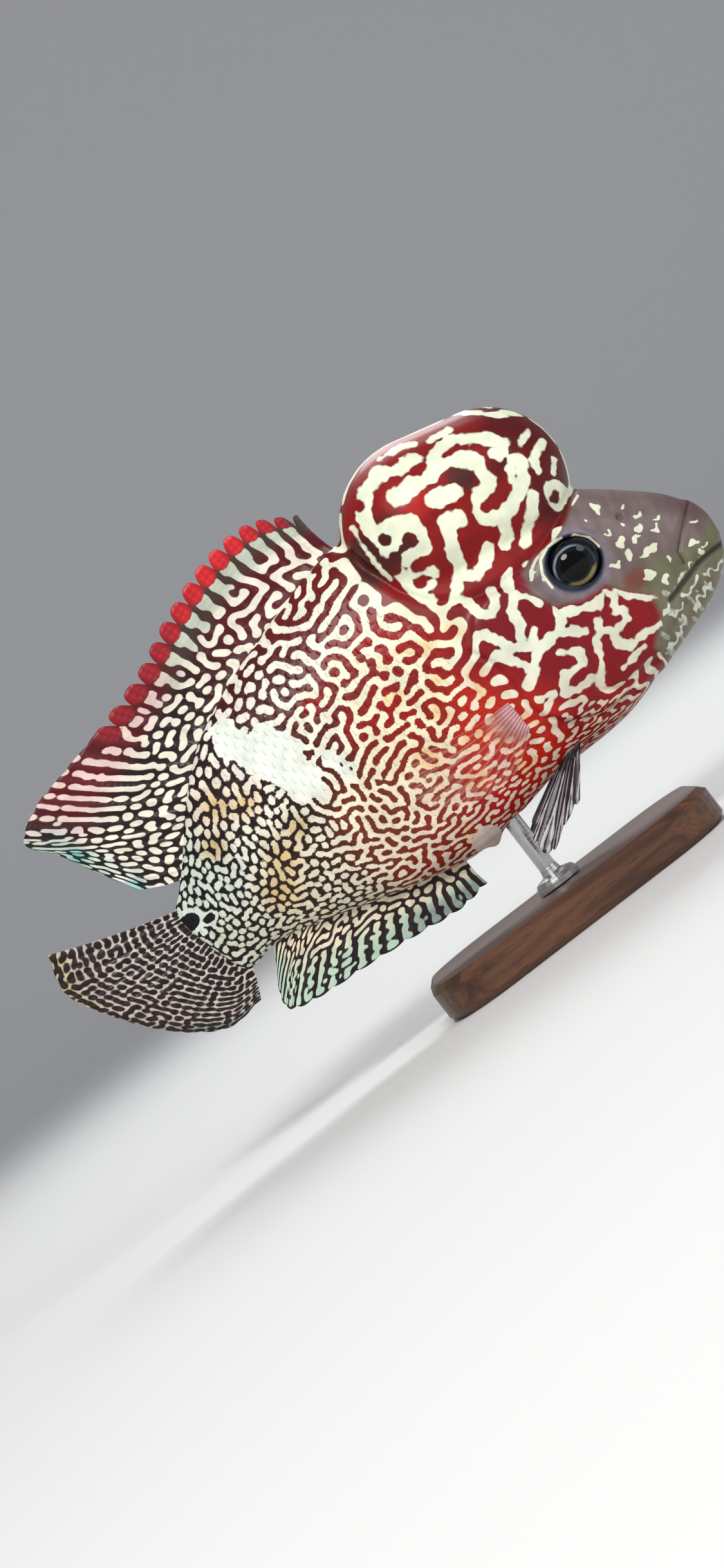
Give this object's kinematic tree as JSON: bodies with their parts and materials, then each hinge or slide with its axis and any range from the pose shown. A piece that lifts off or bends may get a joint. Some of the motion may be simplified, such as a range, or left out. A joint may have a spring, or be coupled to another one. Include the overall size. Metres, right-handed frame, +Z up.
{
  "type": "flowerhorn cichlid",
  "caption": "Life-size flowerhorn cichlid with a nuchal hump, ray fins and patterned skin, swimming level on a rod and base.",
  "frame": {"origin": "middle of the stand's underside, below the rod, on the surface that the part rests on", "axes": "+X to the fish's nose, +Y to the fish's left, +Z up"},
  "size_m": [0.1384, 0.044, 0.0897],
  "materials": {
    "skin": "wet scaled skin, crimson to brown with a cream labyrinth of marks",
    "lips": "smooth wet lips, grey-green and cream",
    "eye": "clear wet eye, dark pupil in a blue-grey iris",
    "fin": "ribbed fin membrane, maroon and black with pale streaks along the rays",
    "clear_fin": "thin, nearly clear ribbed membrane, pinkish",
    "stand_wood": "dark stained wood, satin",
    "stand_steel": "brushed steel"
  },
  "bodies": {
    "root": {"head": "skin", "nuchal_hump": "skin", "upper_lip": "lips", "lower_jaw": "lips", "gill_cover_left": "skin", "gill_cover_right": "skin", "torso": "skin", "tail_stalk": "skin", "eye_left": "eye", "eye_right": "eye", "dorsal_fin_spiny": "fin", "dorsal_fin_soft": "fin", "anal_fin": "fin", "caudal_fin": "fin", "pectoral_fin_left": "clear_fin", "pectoral_fin_right": "clear_fin", "pelvic_fin_left": "fin", "pelvic_fin_right": "fin", "stand_base": "stand_wood", "stand_rod": "stand_steel"}
  },
  "joints": []
}
